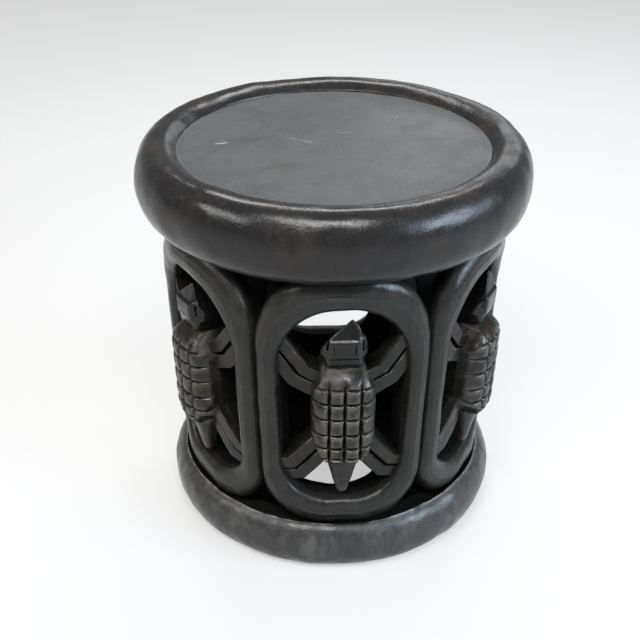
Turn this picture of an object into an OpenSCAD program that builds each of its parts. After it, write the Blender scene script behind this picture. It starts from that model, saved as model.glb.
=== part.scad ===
// Carved stool: a round dished seat on a pierced drum, over a bulged ring base.
// The drum is a ring of oval frames, and each frame holds a turtle by its four legs.
// Z is the drum's axis and the floor is z = 0. Frame 1 faces -Y, and the frames are
// numbered anticlockwise from above. A turtle's left is its left as seen from outside.

/* [Seat] */
// Diameter of the seat over its rolled rim
seat_d = 400; // [385:1:440]
// Thickness of the seat at its rim
seat_thick = 74; // [60:1:90]
// How far the rolled edge stands out past the flat underside
seat_bulge = 24; // [14:1:28]
// Diameter of the sunk sitting face
dish_d = 312; // [260:1:320]
// Depth of the sitting face below the crest of the rim
dish_depth = 11; // [6:1:20]
// Height of the small step round the sitting face
dish_step = 1.5; // [1:0.5:4]

/* [Base] */
// Diameter of the base over its bulge
base_d = 360; // [354:1:400]
// Height of the base
base_h = 58; // [45:1:75]
// How far the base bulges out past its flat foot
base_bulge = 22; // [12:1:24]
// Thickness of the floor left inside the base
base_floor_thick = 20; // [12:1:35]
// Diameter of the hole through the floor of the base
base_hole_d = 108; // [80:1:230]
// Depth of the recess that the frames' feet stand in
foot_recess_depth = 10; // [4:1:14]
// Gap between the frames' feet and the edge of their recess
foot_gap = 1.5; // [1:0.5:4]

/* [Pierced drum] */
// Height of the drum from its feet to the seat
drum_h = 294; // [284:1:330]
// Number of oval frames round the drum
frame_count = 6; // [6:1:7]
// Diameter over the frames under the seat
drum_top_d = 352; // [342:1:360]
// Diameter over the frames at their foot
drum_foot_d = 322; // [316:1:326]
// Diameter of the hollow inside the drum
drum_bore_d = 276; // [262:1:286]

/* [Oval frames] */
// Width of the bars on either side of a window, measured round the drum's face
bar_w = 23.5; // [20:0.5:30]
// Height of the bar below the window
sill_h = 34; // [28:1:42]
// Height of the bar above the window
lintel_h = 32; // [24:1:40]
// Rise of the window's arched head
window_arch_h = 70; // [50:1:90]
// Width of the flat at the crown of the window's arch
window_crown_w = 8; // [4:1:30]
// Height of the window's rounded lower corners
window_foot_corner_h = 42; // [30:1:60]
// Width of the flat at the bottom of the window
window_foot_flat_w = 28; // [4:1:40]
// Width of a frame's rounded upper corners
frame_top_corner_w = 66; // [40:1:75]
// Height of a frame's rounded upper corners
frame_top_corner_h = 76; // [50:1:90]
// Width of a frame's rounded lower corners
frame_foot_corner_w = 62; // [40:1:70]
// Height of a frame's rounded lower corners
frame_foot_corner_h = 58; // [40:1:70]
// Width of the rounding along a frame's window edge
bar_inner_round = 8; // [4:1:10]
// Width of the rounding along a frame's outer edge
bar_outer_round = 11; // [4:1:12]
// Depth of the rounding along a frame's window edge
bar_inner_drop = 8; // [4:1:10]
// Depth of the groove between two frames
bar_outer_drop = 12; // [6:1:13]

/* [Turtle shells] */
// Width of a turtle's shell
shell_w = 62; // [54:1:68]
// Width of the shell's upper end
shell_top_w = 36; // [34:1:44]
// Width of the shell's lower end
shell_foot_w = 34; // [30:1:40]
// Height of the sloped shoulders of the shell
shell_shoulder_h = 25; // [20:1:34]
// Height of the sloped hips of the shell
shell_hip_h = 28; // [20:1:34]
// Height of the shell's lower end above the window's sill
shell_rise = 58; // [52:1:62]
// How far the shell stands proud of the drum's face
shell_proud = 11; // [6:1:15]
// Radius of the shell's dome from side to side
shell_dome_r = 60; // [45:1:90]
// Lean of the shell's face, top outwards, in degrees
shell_lean = 2; // [0:0.5:3]
// Height of the plain sloped cap at the shell's upper end
shell_cap_h = 16; // [12:1:24]
// How far the cap slopes back
shell_cap_slope = 13; // [6:1:15]
// Height of the plain strip at the shell's lower end
shell_strip_h = 9; // [5:1:14]
// How far the strip slopes back
shell_strip_slope = 7; // [3:1:9]
// Rows of squares cut into the shell
scute_rows = 5; // [3:1:7]
// Columns of squares cut into the shell
scute_columns = 4; // [3:1:5]
// Width of a cut between squares
scute_cut_w = 1.8; // [1:0.2:3]
// Depth of a cut between squares
scute_cut_depth = 2.5; // [1.5:0.5:4]
// How far the upright cuts run up into the cap
scute_cut_overrun = 8; // [2:1:12]

/* [Turtle heads] */
// Width of a turtle's head across its cheeks
head_w = 45; // [36:1:48]
// Height of the head and neck above the shell
head_h = 55; // [48:1:62]
// Gap between the turtle's nose and the crown of the window
nose_gap = 7; // [3:1:16]
// Width of the neck where it leaves the shell
neck_w = 29; // [22:1:34]
// Width of the nose at its tip
nose_w = 9; // [5:1:20]
// How far the cheeks stand back from the shell's face
head_recess = 7; // [4:1:12]
// How far the neck stands back from the shell's face
neck_recess = 19; // [17:1:26]
// How far the nose slopes back from the cheeks
nose_slope = 3; // [1:1:16]
// Thickness of the nose's tip, from front to back
nose_thick = 8; // [4:1:14]

/* [Turtle tails] */
// Width of the tail where it leaves the shell
tail_w = 33; // [24:1:34]
// Length of the tail
tail_len = 47; // [34:1:50]
// Diameter of the tail's rounded tip
tail_tip_d = 11; // [6:1:16]

/* [Turtle legs] */
// Width of a foreleg across its two bands
foreleg_w = 32; // [26:1:34]
// Width of a hindleg across its two bands
hindleg_w = 28; // [24:1:32]
// Width of the cut between the two bands
leg_cut_w = 2.6; // [1.5:0.1:4]
// Depth of the cut between the two bands
leg_cut_depth = 5; // [3:0.5:8]
// How far the legs stand back from the drum's face
leg_recess = 9; // [8:0.5:14]
// Drop from the shell's upper end to the foreleg's root
foreleg_root_drop = 20; // [16:1:24]
// Slope of the foreleg from the shell's side, in degrees
foreleg_slope = 26; // [15:1:35]
// Length of the foreleg from the shell's side to its bend
foreleg_bend = 15; // [12:1:20]
// Slope of the foreleg beyond its bend, in degrees
foreleg_reach_slope = 58; // [40:1:64]
// Rise from the shell's lower end to the hindleg's root
hindleg_root_rise = 2; // [0:1:8]
// Slope of the hindleg from the shell's side, in degrees
hindleg_slope = 53; // [45:1:58]
// Length of the hindleg from the shell's side to its bend
hindleg_bend = 24; // [20:1:28]
// Slope of the foot beyond the bend, in degrees
foot_slope = 16; // [5:1:25]
// Clearance between a leg and the frame it reaches
leg_fit = 0.3; // [0.2:0.1:0.6]

/* [Hidden] */
// Steps along a quarter of a frame's outline, and along a rounded edge
corner_steps = 10;
round_steps = 3;
side_steps = 3;
turn_fn = 128;
edge_steps = 16;
slope_steps = 8;
face_steps = 6;
seat_r = seat_d / 2;
dish_r = dish_d / 2;
base_r = base_d / 2;
bore_r = drum_bore_d / 2;
foot_r = drum_foot_d / 2;
top_r = drum_top_d / 2;
recess_r = foot_r + foot_gap;
deck_z = base_h - foot_recess_depth;
seat_z = deck_z + drum_h;
stool_h = seat_z + seat_thick;
dish_z = stool_h - dish_depth;
pitch = 360 / frame_count;

// The drum's face swells from its foot, and is upright under the seat
function face_r(z) = top_r - (top_r - foot_r) * pow(1 - (z - deck_z) / drum_h, 2);
mid_r = face_r(deck_z + drum_h / 2);
frame_half_w = PI * mid_r / frame_count;
window_half_w = frame_half_w - bar_w;
window_z0 = deck_z + sill_h;
window_z1 = seat_z - lintel_h;

shell_z0 = window_z0 + shell_rise;
shell_z1 = window_z1 - nose_gap - head_h;
shell_h = shell_z1 - shell_z0;
shell_mid_z = (shell_z0 + shell_z1) / 2;
shell_face_r = mid_r + shell_proud;
tail_axis_r = (bore_r + shell_face_r - shell_strip_slope) / 2;
// How far tools run past what they cut
overrun = 6;
reach = seat_r;

function mix(a, b, t) = a + (b - a) * t;
// Turn about the axis, in degrees, for a distance measured round the drum's face
function turn_of(s) = s / mid_r * 180 / PI;
function on_drum(s, z, r) = [r * sin(turn_of(s)), -r * cos(turn_of(s)), z];

// Upright oval with elliptical corners, as points [distance round the drum, height]
function oval(half_w, z0, z1, foot_w, foot_h, head_w, head_h) = concat(
    [for (i = [1 : side_steps - 1]) [half_w, mix(z0 + foot_h, z1 - head_h, i / side_steps)]],
    [for (i = [0 : corner_steps]) let (a = 90 * i / corner_steps)
        [half_w - head_w + head_w * cos(a), z1 - head_h + head_h * sin(a)]],
    [for (i = [0 : corner_steps]) let (a = 90 + 90 * i / corner_steps)
        [head_w - half_w + head_w * cos(a), z1 - head_h + head_h * sin(a)]],
    [for (i = [1 : side_steps - 1]) [-half_w, mix(z1 - head_h, z0 + foot_h, i / side_steps)]],
    [for (i = [0 : corner_steps]) let (a = 180 + 90 * i / corner_steps)
        [foot_w - half_w + foot_w * cos(a), z0 + foot_h + foot_h * sin(a)]],
    [for (i = [0 : corner_steps]) let (a = 270 + 90 * i / corner_steps)
        [half_w - foot_w + foot_w * cos(a), z0 + foot_h + foot_h * sin(a)]]
);

function window_oval(clear) = oval(
    window_half_w - clear, window_z0 + clear, window_z1 - clear,
    window_half_w - window_foot_flat_w / 2, window_foot_corner_h,
    window_half_w - window_crown_w / 2, window_arch_h
);

frame_oval = oval(
    frame_half_w, deck_z, seat_z,
    frame_foot_corner_w, frame_foot_corner_h, frame_top_corner_w, frame_top_corner_h
);

// Section of a frame's bar: [share of the way from window to outer edge, depth below the face]
bar_section = concat(
    [for (i = [0 : round_steps]) let (a = 90 * i / round_steps)
        [bar_inner_round / bar_w * (1 - cos(a)), bar_inner_drop * (1 - sin(a))]],
    [for (i = [round_steps : -1 : 0]) let (a = 90 * i / round_steps)
        [1 - bar_outer_round / bar_w * (1 - cos(a)), bar_outer_drop * (1 - sin(a))]]
);

// Points of a bent band, as wide as w, along a line of three points
function unit(v) = v / norm(v);
function left_of(v) = [-v[1], v[0]];
function miter(a, b) = (left_of(a) + left_of(b)) / (1 + a * b);
function bent_band(line, w) = let (
    a = unit(line[1] - line[0]),
    b = unit(line[2] - line[1]),
    m = miter(a, b)
) [
    line[0] + left_of(a) * w / 2, line[1] + m * w / 2, line[2] + left_of(b) * w / 2,
    line[2] - left_of(b) * w / 2, line[1] - m * w / 2, line[0] - left_of(a) * w / 2
];

// A leg's middle line runs from under the shell, over the bend, to past the window's edge
function heading(a) = [cos(a), sin(a)];
function leg_line(root, slope, bend, reach_slope) = [
    root - heading(slope) * shell_w / 3,
    root + heading(slope) * bend,
    root + heading(slope) * bend + heading(reach_slope) * window_half_w
];
foreleg_root = [
    mix(shell_w, shell_top_w, 1 - min(1, foreleg_root_drop / shell_shoulder_h)) / 2,
    shell_z1 - foreleg_root_drop
];
hindleg_root = [
    mix(shell_foot_w, shell_w, min(1, hindleg_root_rise / shell_hip_h)) / 2 + hindleg_w / 3,
    shell_z0 + hindleg_root_rise
];
foreleg_line = leg_line(foreleg_root, foreleg_slope, foreleg_bend, foreleg_reach_slope);
hindleg_line = leg_line(hindleg_root, -hindleg_slope, hindleg_bend, -foot_slope);

// Cuts along the drum's radius through a flat outline drawn as seen from outside
module carve_through(outline) {
    rotate([90, 0, 0]) linear_extrude(height = reach) polygon(outline);
}

module seat_rim() {
    mid_z = (seat_z + stool_h) / 2;
    crest_r = seat_r - seat_bulge;
    edge = [for (i = [0 : edge_steps]) let (a = 180 * i / edge_steps - 90)
        [crest_r + seat_bulge * cos(a), mid_z + seat_thick / 2 * sin(a)]];
    slope = [for (i = [1 : slope_steps]) let (u = i / slope_steps)
        [mix(crest_r, dish_r, u), mix(stool_h, dish_z + dish_step, (1 - cos(180 * u)) / 2)]];
    color("#2b2928") rotate_extrude($fn = turn_fn)
        polygon(concat([[dish_r, seat_z]], edge, slope));
}

module seat_dish() {
    color("#4a4a4c") translate([0, 0, seat_z]) cylinder(h = dish_z - seat_z, r = dish_r, $fn = turn_fn);
}

module base_ring() {
    foot_edge_r = base_r - base_bulge;
    edge = [for (i = [0 : edge_steps]) let (a = 180 * i / edge_steps - 90)
        [foot_edge_r + base_bulge * cos(a), base_h / 2 * (1 + sin(a))]];
    color("#34312e") difference() {
        rotate_extrude($fn = turn_fn) polygon(concat([[bore_r, 0]], edge, [[bore_r, base_h]]));
        translate([0, 0, deck_z]) cylinder(h = base_h, r = recess_r, $fn = turn_fn);
    }
}

module base_floor() {
    color("#2e2b28") difference() {
        cylinder(h = base_floor_thick, r = bore_r, $fn = turn_fn);
        translate([0, 0, -overrun]) cylinder(h = base_h, d = base_hole_d, $fn = turn_fn);
    }
}

// Rounded bar swept round the window, between the window's outline and the frame's
module frame_bar() {
    inner = window_oval(0);
    turns = len(inner);
    front = [for (q = bar_section) [q[0], q[1], false]];
    section = concat([[0, 0, true]], front, [[1, 0, true]]);
    sides = len(section);
    points = [for (i = [0 : turns - 1], q = section) let (
        s = mix(inner[i][0], frame_oval[i][0], q[0]),
        z = mix(inner[i][1], frame_oval[i][1], q[0])
    ) on_drum(s, z, q[2] ? bore_r : face_r(z) - q[1])];
    faces = [for (i = [0 : turns - 1], j = [0 : sides - 1]) let (
        next_i = (i + 1) % turns,
        next_j = (j + 1) % sides
    ) [i * sides + j, next_i * sides + j, next_i * sides + next_j, i * sides + next_j]];
    polyhedron(points = points, faces = faces);
}

// All that lies within a window, between walls that run in towards the drum's axis
module window_space() {
    rim = window_oval(leg_fit);
    n = len(rim);
    near = bore_r * 0.87;
    mid_z = (window_z0 + window_z1) / 2;
    points = concat(
        [for (p = rim) [near * tan(turn_of(p[0])), -near, p[1]]],
        [for (p = rim) [reach * tan(turn_of(p[0])), -reach, p[1]]],
        [[0, -near, mid_z], [0, -reach, mid_z]]
    );
    faces = [for (i = [0 : n - 1]) let (j = (i + 1) % n)
        each [[i, j, 2 * n], [n + j, n + i, 2 * n + 1], [j, i, n + i], [j, n + i, n + j]]];
    polyhedron(points = points, faces = faces);
}

module shell_outline() {
    hip_z = shell_z0 + shell_hip_h;
    shoulder_z = shell_z1 - shell_shoulder_h;
    right = [[shell_foot_w / 2, shell_z0], [shell_w / 2, hip_z],
        [shell_w / 2, shoulder_z], [shell_top_w / 2, shell_z1]];
    left = [for (i = [3 : -1 : 0]) [-right[i][0], right[i][1]]];
    carve_through(concat(right, left));
}

// Domed block that leans with the drum, with the cuts between its squares
module shell_dome() {
    z0 = -shell_h / 2;
    z1 = shell_h / 2;
    cap_z = z1 - shell_cap_h;
    strip_z = z0 + shell_strip_h;
    cut_r = shell_dome_r - scute_cut_depth;
    cut_run = scute_cut_depth + overrun;
    column_turn = 2 * asin(shell_w / 2 / shell_dome_r) / scute_columns;
    translate([0, shell_dome_r - shell_face_r, shell_mid_z]) rotate([shell_lean, 0, 0])
    difference() {
        rotate_extrude($fn = turn_fn) polygon([
            [0, z0 - overrun], [shell_dome_r - shell_strip_slope, z0 - overrun],
            [shell_dome_r - shell_strip_slope, z0], [shell_dome_r, strip_z],
            [shell_dome_r, cap_z], [shell_dome_r - shell_cap_slope, z1],
            [shell_dome_r - shell_cap_slope, z1 + overrun], [0, z1 + overrun]
        ]);
        rotate_extrude($fn = turn_fn) for (i = [0 : scute_rows])
            translate([cut_r, mix(strip_z, cap_z, i / scute_rows) - scute_cut_w / 2])
                square([cut_run, scute_cut_w]);
        for (i = [1 : scute_columns - 1])
            rotate([0, 0, (i - scute_columns / 2) * column_turn])
                translate([-scute_cut_w / 2, -cut_r - cut_run, z0 - overrun])
                    cube([scute_cut_w, cut_run, cap_z - z0 + overrun + scute_cut_overrun]);
    }
}

module turtle_shell() {
    color("#2e2b29") difference() {
        intersection() {
            shell_outline();
            shell_dome();
        }
        cylinder(h = stool_h, r = bore_r, $fn = turn_fn);
    }
}

// Eight-sided slice of the head: half width, front and back distance from the axis, height
function head_slice(half_w, front, back, z) = let (c = half_w / 3) [
    [half_w, -back, z], [half_w, -front + 2 * c, z], [half_w - c, -front + c / 2, z],
    [c, -front, z], [-c, -front, z], [c - half_w, -front + c / 2, z],
    [-half_w, -front + 2 * c, z], [-half_w, -back, z]
];

module turtle_head() {
    cheek_front = shell_face_r - head_recess;
    neck_front = shell_face_r - neck_recess;
    nose_front = cheek_front - nose_slope;
    nose_back = nose_front - nose_thick;
    slices = [
        head_slice(neck_w / 2, neck_front, bore_r, shell_z1),
        head_slice(mix(neck_w, head_w, 0.4) / 2, mix(neck_front, cheek_front, 0.5), bore_r,
            shell_z1 + head_h * 0.18),
        head_slice(mix(neck_w, head_w, 0.85) / 2, mix(neck_front, cheek_front, 0.95), bore_r,
            shell_z1 + head_h * 0.35),
        head_slice(head_w / 2, cheek_front, bore_r, shell_z1 + head_h * 0.56),
        head_slice(mix(nose_w, head_w, 0.5) / 2, mix(nose_front, cheek_front, 0.5),
            mix(nose_back, bore_r, 0.5), shell_z1 + head_h * 0.78),
        head_slice(nose_w / 2, nose_front, nose_back, shell_z1 + head_h)
    ];
    n = len(slices[0]);
    last = len(slices) - 1;
    faces = concat(
        [[for (i = [n - 1 : -1 : 0]) i], [for (i = [0 : n - 1]) last * n + i]],
        [for (k = [0 : last - 1], i = [0 : n - 1]) let (j = (i + 1) % n)
            [k * n + i, k * n + j, (k + 1) * n + j, (k + 1) * n + i]]
    );
    color("#2c2a29") polyhedron(points = [for (s = slices, p = s) p], faces = faces);
}

module turtle_tail() {
    tip_r = tail_tip_d / 2;
    color("#3a302a") translate([0, -tail_axis_r, shell_z0 - tail_len + tip_r]) {
        cylinder(h = tail_len - tip_r, r1 = tip_r, r2 = tail_w / 2, $fn = 64);
        sphere(r = tip_r, $fn = 64);
    }
}

// All that lies deeper than a depth below the drum's face
module below_face(depth) {
    rotate_extrude($fn = turn_fn) polygon(concat(
        [[0, deck_z]],
        [for (i = [0 : face_steps]) let (z = mix(deck_z, seat_z, i / face_steps)) [face_r(z) - depth, z]],
        [[0, seat_z]]
    ));
}

// A leg on the right as seen from outside; the left ones are mirrored
module leg(line, leg_w) {
    color("#2d2a28") difference() {
        intersection() {
            carve_through(bent_band(line, leg_w));
            window_space();
            below_face(leg_recess);
        }
        cylinder(h = stool_h, r = bore_r, $fn = turn_fn);
        shell_outline();
        turtle_tail();
        difference() {
            carve_through(bent_band(line, leg_cut_w));
            below_face(leg_recess + leg_cut_depth);
        }
    }
}

module oval_frame() {
    color("#33302d") frame_bar();
}

module left_foreleg() {
    mirror([1, 0, 0]) leg(foreleg_line, foreleg_w);
}

module right_foreleg() {
    leg(foreleg_line, foreleg_w);
}

module left_hindleg() {
    mirror([1, 0, 0]) leg(hindleg_line, hindleg_w);
}

module right_hindleg() {
    leg(hindleg_line, hindleg_w);
}

seat_rim();
seat_dish();
base_ring();
base_floor();
for (k = [1 : frame_count]) rotate([0, 0, (k - 1) * pitch]) {
    oval_frame();
    turtle_shell();
    turtle_head();
    turtle_tail();
    left_foreleg();
    right_foreleg();
    left_hindleg();
    right_hindleg();
}
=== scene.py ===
import math

import bmesh
import bpy
from mathutils import Matrix, Vector, noise


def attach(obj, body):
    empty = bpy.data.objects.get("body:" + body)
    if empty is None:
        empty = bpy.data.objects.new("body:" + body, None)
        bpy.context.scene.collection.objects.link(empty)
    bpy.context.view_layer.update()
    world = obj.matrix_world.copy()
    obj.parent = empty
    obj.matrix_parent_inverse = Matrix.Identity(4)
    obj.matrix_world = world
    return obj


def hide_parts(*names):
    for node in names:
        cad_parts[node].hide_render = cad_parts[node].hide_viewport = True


# Carved stool in dark waxed wood: a dished seat on a drum of oval frames, each with a turtle.
# Lengths are in metres. Frame 1 faces -Y, and the frames are numbered anticlockwise from above.

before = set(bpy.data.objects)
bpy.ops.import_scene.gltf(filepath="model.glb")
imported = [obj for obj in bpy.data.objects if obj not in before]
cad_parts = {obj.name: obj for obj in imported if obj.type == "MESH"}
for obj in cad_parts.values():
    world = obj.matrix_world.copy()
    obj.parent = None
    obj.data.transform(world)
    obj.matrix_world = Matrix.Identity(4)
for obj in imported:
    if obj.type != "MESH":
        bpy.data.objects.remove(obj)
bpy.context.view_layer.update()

# Seat
seat_r = 0.1987
seat_crest_r = 0.1752
seat_z0 = 0.3424
seat_z1 = 0.4152
seat_most_r = 0.1999
seat_most_z = 0.4159
rim_under_r = 0.168
dish_r = 0.156
dish_z = 0.405
dish_step = 0.0017
dish_wave_scale = 26
dish_wave_depth = 0.0007
dish_edge_run = 0.02

# Base
base_r = 0.1792
base_foot_r = 0.158
base_h = 0.0578
base_most_r = 0.1799
base_most_z = 0.0579
deck_z = 0.048
recess_r = 0.1632
bore_r = 0.138
base_floor_z = 0.020
base_hole_r = 0.054

# Drum and oval frames
frame_count = 6
back_frame = 4
pitch = 2 * math.pi / frame_count
face_foot_r = 0.161
face_top_r = 0.176
drum_h = 0.294
face_mid_r = face_top_r - (face_top_r - face_foot_r) / 4
frame_half_w = math.pi * face_mid_r / frame_count - 0.0002
frame_z1 = deck_z + drum_h
window_half_w = 0.0667
window_z0 = 0.082
window_z1 = 0.310
back_sill_lift = 0.018
drum_most_r = 0.1799

# Turtle
shell_z0 = 0.140
shell_z1 = 0.248
shell_half_w = 0.0305
shell_face_r = 0.1828
head_half_w = 0.0223
head_face_r = 0.1768
helmet_face_r = 0.1762
head_top_z = 0.303
tail_axis_r = 0.157
leg_recess = 0.009
leg_cut_w = 0.0032
leg_edge = 0.0018
lower_band_drop = 0.0012
core_drop = 0.010

# How far behind the drum's face the polish reaches; past it the raw wood begins, darkened as painted
# shade
frame_raw_shade_depth = 0.0165
shell_raw_shade_depth = 0.016
head_raw_shade_depth = 0.024
leg_raw_shade_depth = 0.0185

# Unevenness left by hand tools on each piece, as pairs of a size and a depth
rim_waves = ((0.075, 0.0034), (0.022, 0.0009))
base_waves = ((0.06, 0.0032), (0.018, 0.0012))
frame_waves = ((0.05, 0.0024), (0.014, 0.0007))
shell_waves = ((0.03, 0.0012),)
tail_waves = ((0.02, 0.0012),)
leg_waves = ((0.03, 0.0014),)


def only(piece):
    """Leaves one piece selected and active"""
    bpy.ops.object.select_all(action="DESELECT")
    piece.select_set(True)
    bpy.context.view_layer.objects.active = piece


def mix(a, b, t):
    return a + (b - a) * t


def polar(r, turn, z):
    """Point at a turn from -Y, anticlockwise from above"""
    return Vector((r * math.sin(turn), -r * math.cos(turn), z))


def face_r(z):
    """Radius of the drum's swelling face"""
    t = 1 - (z - deck_z) / drum_h
    return face_top_r - (face_top_r - face_foot_r) * t * t


def swept(name, rings):
    """Skin pulled from a first ring of points through all the others, one extrusion at a time"""
    bpy.ops.object.select_all(action="DESELECT")
    bpy.ops.mesh.primitive_circle_add(vertices=len(rings[0]), radius=0.1)
    piece = bpy.context.object
    piece.name = name
    bpy.ops.object.mode_set(mode="EDIT")
    bpy.ops.mesh.select_mode(type="EDGE")
    bm = bmesh.from_edit_mesh(piece.data)
    place = bm.verts.layers.int.new("place")
    for number, vert in enumerate(bm.verts):
        vert[place] = number
        vert.co = rings[0][number]
    bpy.ops.mesh.select_all(action="SELECT")
    for ring in rings[1:]:
        bpy.ops.mesh.extrude_edges_indiv()
        bm = bmesh.from_edit_mesh(piece.data)
        place = bm.verts.layers.int["place"]
        for vert in bm.verts:
            if vert.select:
                vert.co = ring[vert[place]]
    bpy.ops.mesh.select_all(action="SELECT")
    bpy.ops.mesh.remove_doubles(threshold=0.00001)
    bpy.ops.mesh.normals_make_consistent(inside=False)
    bpy.ops.object.mode_set(mode="OBJECT")
    return piece


def turned(name, section, steps):
    """Round piece from a section of (radius, height) points"""
    turns = [2 * math.pi * i / steps for i in range(steps)]
    return swept(name, [[polar(r, turn, z) for turn in turns] for r, z in section])


def waver(piece, waves):
    """Pushes the surface in and out by each pair of a size and a depth"""
    only(piece)
    for size, depth in waves:
        texture = bpy.data.textures.new(f"{piece.name}_waver", type="CLOUDS")
        texture.noise_scale = size
        push = piece.modifiers.new("waver", "DISPLACE")
        push.texture = texture
        push.texture_coords = "LOCAL"
        push.strength = depth
        push.mid_level = 0.5
        bpy.ops.object.modifier_apply(modifier="waver")


def kept_within(piece, most_r, low_z, high_z):
    """Holds what the unevenness pushed out back to the piece's full size"""
    for vert in piece.data.vertices:
        r = math.hypot(vert.co.x, vert.co.y)
        if r > most_r:
            vert.co.x *= most_r / r
            vert.co.y *= most_r / r
        vert.co.z = min(max(vert.co.z, low_z), high_z)


def chisel(piece, cuts):
    """Flat facets: all that stands past each plane, a point and a normal, is cut off"""
    only(piece)
    for point, normal in cuts:
        bpy.ops.object.mode_set(mode="EDIT")
        bpy.ops.mesh.select_all(action="SELECT")
        bpy.ops.mesh.bisect(plane_co=point, plane_no=normal, use_fill=True, clear_outer=True)
        bpy.ops.object.mode_set(mode="OBJECT")


def on_side(side, cuts):
    """Cuts written for the turtle's right side, as seen from outside, moved to either side"""
    return [((side * x, y, z), (side * across, out, up)) for (x, y, z), (across, out, up) in cuts]


def bevelled(piece, width, segments, angle):
    """Rounds the edges that are sharper than an angle in degrees"""
    only(piece)
    bevel = piece.modifiers.new("bevel", "BEVEL")
    bevel.width = width
    bevel.segments = segments
    bevel.limit_method = "ANGLE"
    bevel.angle_limit = math.radians(angle)
    bpy.ops.object.modifier_apply(modifier="bevel")


def subdivided(piece, levels):
    """Splits every face without moving it"""
    only(piece)
    split = piece.modifiers.new("subdivide", "SUBSURF")
    split.levels = levels
    split.render_levels = levels
    split.subdivision_type = "SIMPLE"
    bpy.ops.object.modifier_apply(modifier="subdivide")


def shaded(piece, angle):
    only(piece)
    bpy.ops.object.shade_smooth_by_angle(angle=math.radians(angle))


def copied(piece, name, turn, mirrored=False, shape=None):
    """Copy with its own mesh, turned about the drum's axis"""
    copy = piece.copy()
    copy.data = piece.data.copy()
    copy.name = name
    bpy.context.collection.objects.link(copy)
    if mirrored:
        copy.data.transform(Matrix.Scale(-1, 4, (1, 0, 0)))
        copy.data.flip_normals()
    if shape:
        copy.data.transform(shape)
    copy.data.transform(Matrix.Rotation(turn, 4, "Z"))
    return copy


def mounted(piece, material, slot, *nodes):
    piece.data.materials.clear()
    piece.data.materials.append(material)
    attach(piece, "root")
    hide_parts(*nodes)


# Materials


def node_of(tree, kind, values=None, **settings):
    """Node with its settings made and its inputs set or linked"""
    node = tree.nodes.new(kind)
    for label, setting in settings.items():
        setattr(node, label, setting)
    for label, value in (values or {}).items():
        if isinstance(value, bpy.types.NodeSocket):
            tree.links.new(value, node.inputs[label])
        else:
            node.inputs[label].default_value = value
    return node


def calc(tree, operation, *values):
    return node_of(tree, "ShaderNodeMath", dict(enumerate(values)), operation=operation).outputs[0]


def vector_calc(tree, operation, values, output="Vector"):
    return node_of(tree, "ShaderNodeVectorMath", values, operation=operation).outputs[output]


def clear_step(tree, value, low, high, start=0.0, end=1.0):
    """Soft step from start to end as a value goes from low to high"""
    values = {"Value": value, "From Min": low, "From Max": high, "To Min": start, "To Max": end}
    return node_of(tree, "ShaderNodeMapRange", values, interpolation_type="SMOOTHSTEP").outputs["Result"]


def cloud_of(tree, vector, scale, detail, roughness=0.6):
    values = {"Vector": vector, "Scale": scale, "Detail": detail, "Roughness": roughness}
    return node_of(tree, "ShaderNodeTexNoise", values).outputs["Fac"]


def blend(tree, mask, first, second):
    """Colour that goes from the first to the second with a mask, which are sockets 6, 7 and 0"""
    colours = [tuple(c) + (1.0,) if isinstance(c, tuple) else c for c in (first, second)]
    values = {0: mask, 6: colours[0], 7: colours[1]}
    return node_of(tree, "ShaderNodeMix", values, data_type="RGBA").outputs[2]


def own_place(tree):
    return node_of(tree, "ShaderNodeTexCoord").outputs["Object"]


def stretched(tree, vector, scale, turn=(0.0, 0.0, 0.0)):
    values = {"Vector": vector, "Scale": scale, "Rotation": turn}
    return node_of(tree, "ShaderNodeMapping", values).outputs["Vector"]


def group_of(name, inputs, outputs):
    """Empty node group with named sockets"""
    group = bpy.data.node_groups.new(name, "ShaderNodeTree")
    for label, value in inputs.items():
        kind = "NodeSocketVector" if isinstance(value, tuple) else "NodeSocketFloat"
        socket = group.interface.new_socket(label, in_out="INPUT", socket_type=kind)
        socket.default_value = value
    for label in outputs:
        group.interface.new_socket(label, in_out="OUTPUT", socket_type="NodeSocketFloat")
    into = group.nodes.new("NodeGroupInput").outputs
    out = group.nodes.new("NodeGroupOutput").inputs
    return group, into, out


def wood_grain_group():
    """Fine pores and long streaks along the log, which runs up"""
    group, into, out = group_of("wood grain", {"Fineness": 1.0}, ["Streaks", "Pores", "Grit"])
    along = stretched(group, own_place(group), (1.0, 1.0, 0.10))
    streaks = cloud_of(group, along, calc(group, "MULTIPLY", into["Fineness"], 170.0), 5.0, 0.65)
    pores = cloud_of(group, along, calc(group, "MULTIPLY", into["Fineness"], 800.0), 2.0)
    grit = cloud_of(group, own_place(group), calc(group, "MULTIPLY", into["Fineness"], 420.0), 3.0, 0.7)
    group.links.new(streaks, out["Streaks"])
    group.links.new(pores, out["Pores"])
    group.links.new(grit, out["Grit"])
    return group


def patches_group():
    """Soft uneven patches of wax and wear, as a mask with a set edge"""
    group, into, out = group_of("patches", {"Scale": 20.0, "Low": 0.4, "High": 0.6}, ["Mask"])
    cloud = cloud_of(group, own_place(group), into["Scale"], 6.0)
    group.links.new(clear_step(group, cloud, into["Low"], into["High"]), out["Mask"])
    return group


def hairlines_group():
    """Short fine scratches at several slants, here and there"""
    group, into, out = group_of("hairlines", {"Scale": 480.0, "Share": 0.70}, ["Mask"])
    last = 0.0
    for turn in (0.2, 1.1, 1.9, 2.7):
        lay = stretched(group, own_place(group), (1.0, 1.0, 1.0), (0.3 * turn, 0.2 * turn, turn))
        lay = stretched(group, lay, (1.0, 0.08, 1.0))
        streak = cloud_of(group, lay, into["Scale"], 1.0, 0.5)
        far = calc(group, "ADD", into["Share"], 0.05)
        last = calc(group, "MAXIMUM", clear_step(group, streak, into["Share"], far), last)
    group.links.new(last, out["Mask"])
    return group


flat_bend = 0.008


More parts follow.
